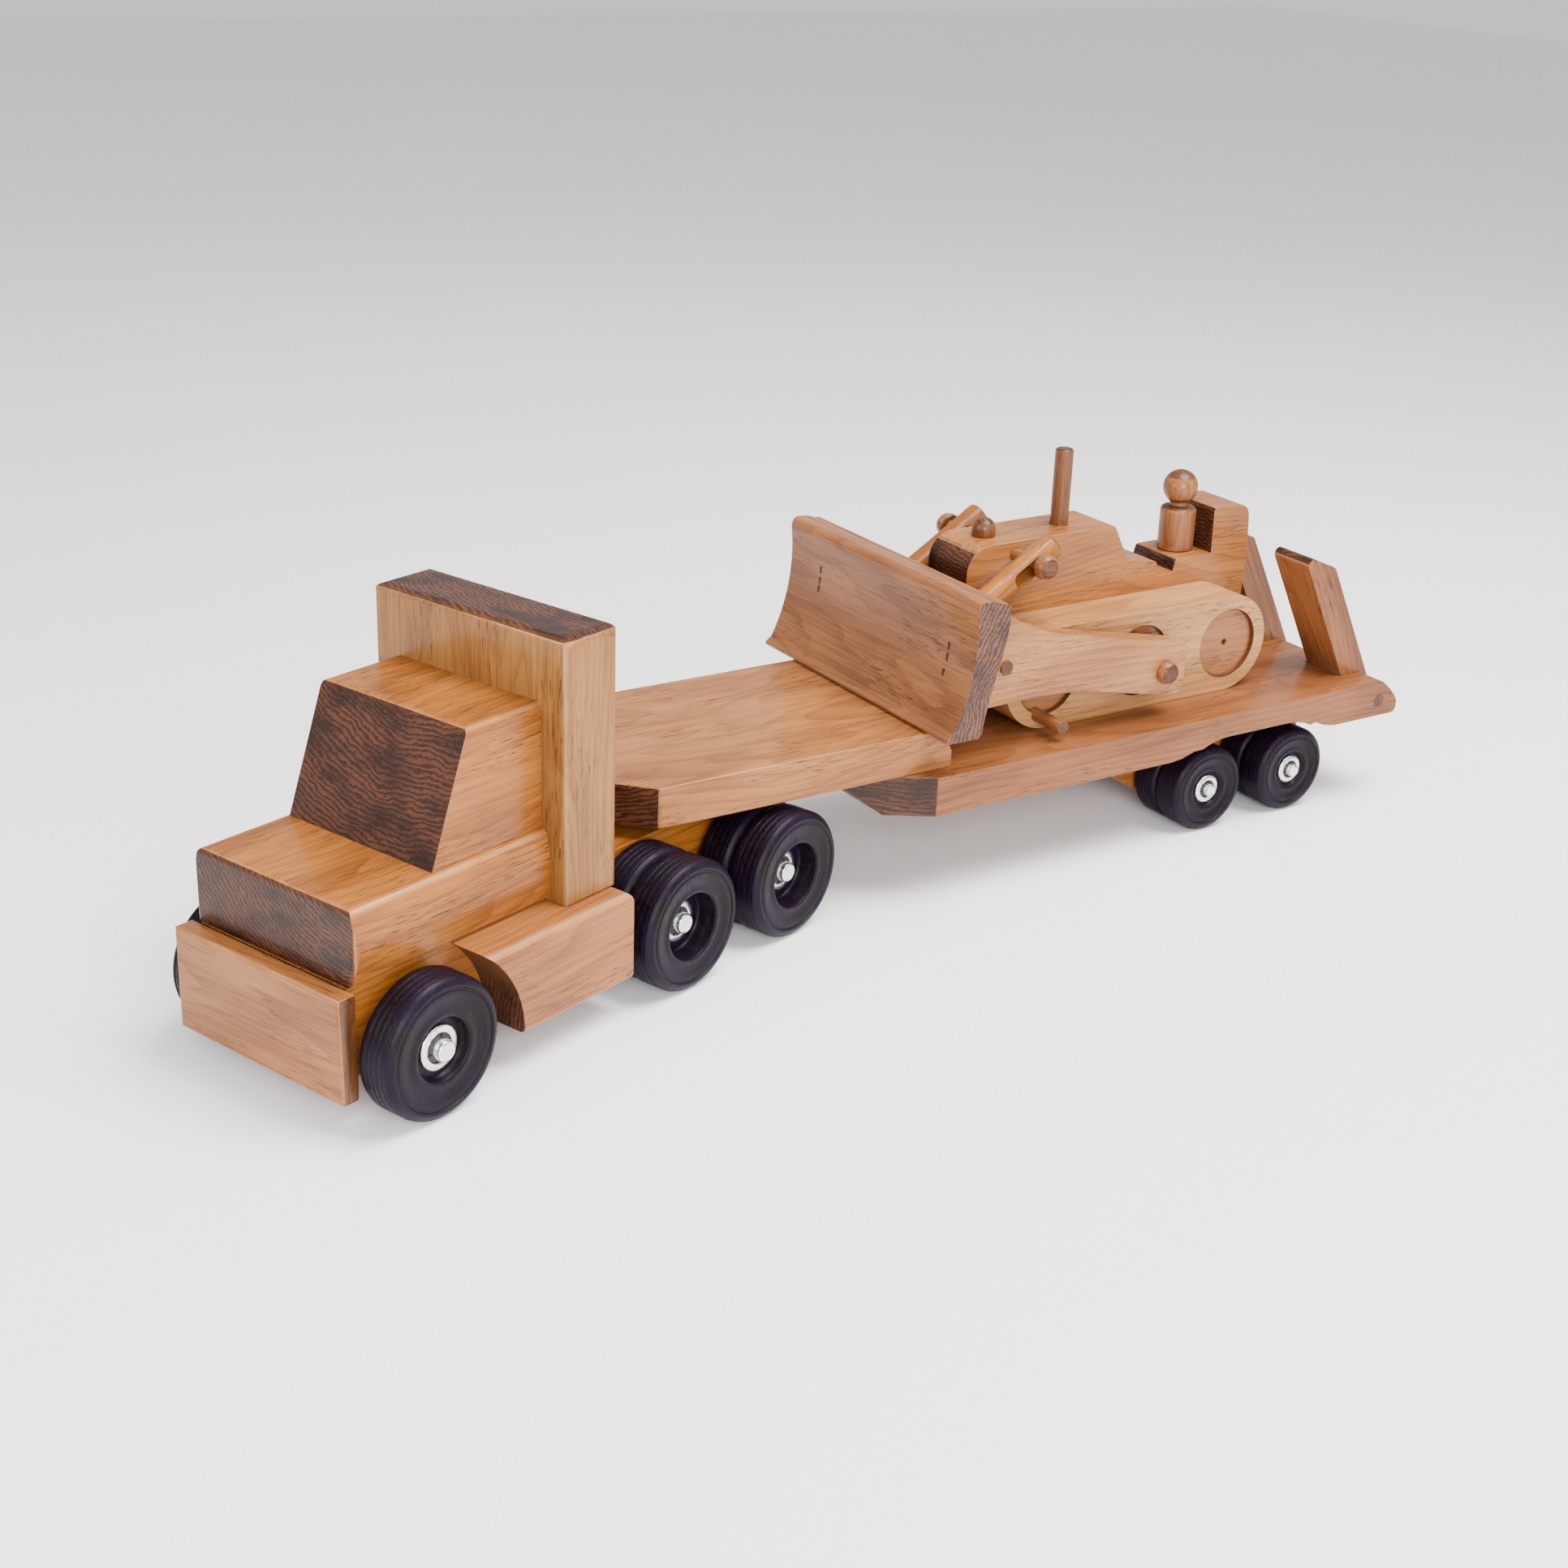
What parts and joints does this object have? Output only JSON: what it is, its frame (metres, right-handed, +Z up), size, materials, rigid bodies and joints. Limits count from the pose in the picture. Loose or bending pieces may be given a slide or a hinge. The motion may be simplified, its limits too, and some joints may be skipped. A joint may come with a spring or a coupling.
{
  "type": "toy lorry with low loader trailer and bulldozer",
  "caption": "Wooden toy lorry tractor unit with a low-loader trailer, fold-down ramps and a wooden bulldozer carried on the deck.",
  "frame": {"origin": "on the ground, below the centre of the whole model's box", "axes": "+X along the trailer towards the lorry, +Y to the trailer's left, +Z up"},
  "size_m": [0.6408, 0.2206, 0.1872],
  "materials": {
    "wood_amber": "gloss lacquered pine",
    "wood_pale": "gloss lacquered pine, paler",
    "wood_dowel": "lacquered dowel",
    "wheel_black": "turned wood dyed black",
    "steel": "bright steel",
    "staple_wire": "darkened wire"
  },
  "bodies": {
    "trailer": {"gooseneck_deck": "wood_amber", "main_deck": "wood_amber", "kingpin": "wood_dowel", "bogie_block": "wood_amber", "axle_trailer_front": "steel", "axle_trailer_rear": "steel", "push_nuts_trailer": "steel", "nut_stars_trailer": "staple_wire", "ramp_dowel": "wood_dowel"},
    "tractor": {"chassis": "wood_amber", "bumper": "wood_amber", "hood": "wood_amber", "cab": "wood_amber", "sleeper": "wood_amber", "tank_left": "wood_amber", "tank_right": "wood_amber", "hitch_spacer": "wood_dowel", "axle_front": "steel", "axle_drive_front": "steel", "axle_drive_rear": "steel", "push_nuts_tractor": "steel", "nut_stars_tractor": "staple_wire"},
    "dozer": {"dozer_body": "wood_amber", "track_left": "wood_pale", "track_right": "wood_pale", "exhaust_stack": "wood_dowel", "radiator_cap": "wood_dowel", "arm_pegs": "wood_dowel", "ram_pegs": "wood_dowel", "stop_pegs": "wood_dowel"},
    "lift": {"blade": "wood_amber", "arm_left": "wood_amber", "arm_right": "wood_amber", "arm_dowels": "wood_dowel", "ram_pins": "wood_dowel", "staples": "staple_wire"},
    "driver": {"driver": "wood_dowel"},
    "ram_left": {"ram_left": "wood_amber"},
    "ramp_left": {"ramp_left": "wood_amber"},
    "ram_right": {"ram_right": "wood_amber"},
    "ramp_right": {"ramp_right": "wood_amber"},
    "wheel_front_left": {"wheel_front_left": "wheel_black"},
    "wheel_drive_front_left_outer": {"wheel_drive_front_left_outer": "wheel_black"},
    "wheel_drive_front_left_inner": {"wheel_drive_front_left_inner": "wheel_black"},
    "wheel_drive_rear_left_outer": {"wheel_drive_rear_left_outer": "wheel_black"},
    "wheel_drive_rear_left_inner": {"wheel_drive_rear_left_inner": "wheel_black"},
    "wheel_trailer_front_left_outer": {"wheel_trailer_front_left_outer": "wheel_black"},
    "wheel_trailer_front_left_inner": {"wheel_trailer_front_left_inner": "wheel_black"},
    "wheel_trailer_rear_left_outer": {"wheel_trailer_rear_left_outer": "wheel_black"},
    "wheel_trailer_rear_left_inner": {"wheel_trailer_rear_left_inner": "wheel_black"},
    "wheel_front_right": {"wheel_front_right": "wheel_black"},
    "wheel_drive_front_right_outer": {"wheel_drive_front_right_outer": "wheel_black"},
    "wheel_drive_front_right_inner": {"wheel_drive_front_right_inner": "wheel_black"},
    "wheel_drive_rear_right_outer": {"wheel_drive_rear_right_outer": "wheel_black"},
    "wheel_drive_rear_right_inner": {"wheel_drive_rear_right_inner": "wheel_black"},
    "wheel_trailer_front_right_outer": {"wheel_trailer_front_right_outer": "wheel_black"},
    "wheel_trailer_front_right_inner": {"wheel_trailer_front_right_inner": "wheel_black"},
    "wheel_trailer_rear_right_outer": {"wheel_trailer_rear_right_outer": "wheel_black"},
    "wheel_trailer_rear_right_inner": {"wheel_trailer_rear_right_inner": "wheel_black"}
  },
  "joints": [
    {"name": "hitch_turn", "type": "hinge", "parent": "trailer", "child": "tractor", "pos_m": [0.07324, -0.03064, 0.06], "axis": [0, 0, 1], "range_deg": [-64.14, 25.86]},
    {"name": "dozer_lift_off", "type": "slide", "parent": "trailer", "child": "dozer", "axis": [0, 0, 1], "range_m": [0, 0.08]},
    {"name": "blade_lift", "type": "hinge", "parent": "dozer", "child": "lift", "pos_m": [-0.16676, -0.03534, 0.0875], "axis": [0, -1, 0], "range_deg": [0, 9]},
    {"name": "driver_lift_out", "type": "slide", "parent": "dozer", "child": "driver", "axis": [0, 0, 1], "range_m": [0, 0.04]},
    {"name": "ram_left_swing", "type": "hinge", "parent": "lift", "child": "ram_left", "pos_m": [-0.05876, -0.00684, 0.116], "axis": [0, -1, 0], "range_deg": [0, 7]},
    {"name": "ramp_left_swing", "type": "hinge", "parent": "trailer", "child": "ramp_left", "pos_m": [-0.30676, 0.00586, 0.0524], "axis": [0, -1, 0], "range_deg": [0, 155.8]},
    {"name": "ram_right_swing", "type": "hinge", "parent": "lift", "child": "ram_right", "pos_m": [-0.05876, -0.06384, 0.116], "axis": [0, -1, 0], "range_deg": [0, 7]},
    {"name": "ramp_right_swing", "type": "hinge", "parent": "trailer", "child": "ramp_right", "pos_m": [-0.30676, -0.05364, 0.0524], "axis": [0, -1, 0], "range_deg": [0, 155.8]},
    {"name": "front_left_spin", "type": "hinge", "parent": "tractor", "child": "wheel_front_left", "pos_m": [0.25346, 0.09331, 0.0293], "axis": [-0.3279, 0.9447, 0], "continuous": true},
    {"name": "drive_front_left_outer_spin", "type": "hinge", "parent": "tractor", "child": "wheel_drive_front_left_outer", "pos_m": [0.11741, 0.04704, 0.0293], "axis": [-0.3279, 0.9447, 0], "continuous": true},
    {"name": "drive_front_left_inner_spin", "type": "hinge", "parent": "tractor", "child": "wheel_drive_front_left_inner", "pos_m": [0.12338, 0.02985, 0.0293], "axis": [-0.3279, 0.9447, 0], "continuous": true},
    {"name": "drive_rear_left_outer_spin", "type": "hinge", "parent": "tractor", "child": "wheel_drive_rear_left_outer", "pos_m": [0.05109, 0.02402, 0.0293], "axis": [-0.3279, 0.9447, 0], "continuous": true},
    {"name": "drive_rear_left_inner_spin", "type": "hinge", "parent": "tractor", "child": "wheel_drive_rear_left_inner", "pos_m": [0.05706, 0.00683, 0.0293], "axis": [-0.3279, 0.9447, 0], "continuous": true},
    {"name": "trailer_front_left_outer_spin", "type": "hinge", "parent": "trailer", "child": "wheel_trailer_front_left_outer", "pos_m": [-0.19776, 0.02226, 0.022], "axis": [0, 1, 0], "continuous": true},
    {"name": "trailer_front_left_inner_spin", "type": "hinge", "parent": "trailer", "child": "wheel_trailer_front_left_inner", "pos_m": [-0.19776, 0.00566, 0.022], "axis": [0, 1, 0], "continuous": true},
    {"name": "trailer_rear_left_outer_spin", "type": "hinge", "parent": "trailer", "child": "wheel_trailer_rear_left_outer", "pos_m": [-0.25416, 0.02226, 0.022], "axis": [0, 1, 0], "continuous": true},
    {"name": "trailer_rear_left_inner_spin", "type": "hinge", "parent": "trailer", "child": "wheel_trailer_rear_left_inner", "pos_m": [-0.25416, 0.00566, 0.022], "axis": [0, 1, 0], "continuous": true},
    {"name": "front_right_spin", "type": "hinge", "parent": "tractor", "child": "wheel_front_right", "pos_m": [0.2892, -0.00967, 0.0293], "axis": [-0.3279, 0.9447, 0], "continuous": true},
    {"name": "drive_front_right_outer_spin", "type": "hinge", "parent": "tractor", "child": "wheel_drive_front_right_outer", "pos_m": [0.15603, -0.06425, 0.0293], "axis": [-0.3279, 0.9447, 0], "continuous": true},
    {"name": "drive_front_right_inner_spin", "type": "hinge", "parent": "tractor", "child": "wheel_drive_front_right_inner", "pos_m": [0.15007, -0.04705, 0.0293], "axis": [-0.3279, 0.9447, 0], "continuous": true},
    {"name": "drive_rear_right_outer_spin", "type": "hinge", "parent": "tractor", "child": "wheel_drive_rear_right_outer", "pos_m": [0.08972, -0.08726, 0.0293], "axis": [-0.3279, 0.9447, 0], "continuous": true},
    {"name": "drive_rear_right_inner_spin", "type": "hinge", "parent": "tractor", "child": "wheel_drive_rear_right_inner", "pos_m": [0.08375, -0.07007, 0.0293], "axis": [-0.3279, 0.9447, 0], "continuous": true},
    {"name": "trailer_front_right_outer_spin", "type": "hinge", "parent": "trailer", "child": "wheel_trailer_front_right_outer", "pos_m": [-0.19776, -0.08354, 0.022], "axis": [0, 1, 0], "continuous": true},
    {"name": "trailer_front_right_inner_spin", "type": "hinge", "parent": "trailer", "child": "wheel_trailer_front_right_inner", "pos_m": [-0.19776, -0.06694, 0.022], "axis": [0, 1, 0], "continuous": true},
    {"name": "trailer_rear_right_outer_spin", "type": "hinge", "parent": "trailer", "child": "wheel_trailer_rear_right_outer", "pos_m": [-0.25416, -0.08354, 0.022], "axis": [0, 1, 0], "continuous": true},
    {"name": "trailer_rear_right_inner_spin", "type": "hinge", "parent": "trailer", "child": "wheel_trailer_rear_right_inner", "pos_m": [-0.25416, -0.06694, 0.022], "axis": [0, 1, 0], "continuous": true}
  ],
  "couplings": [
    {"joint": "ram_left_swing", "follows": "blade_lift", "ratio": 0.72},
    {"joint": "ram_right_swing", "follows": "blade_lift", "ratio": 0.72}
  ]
}
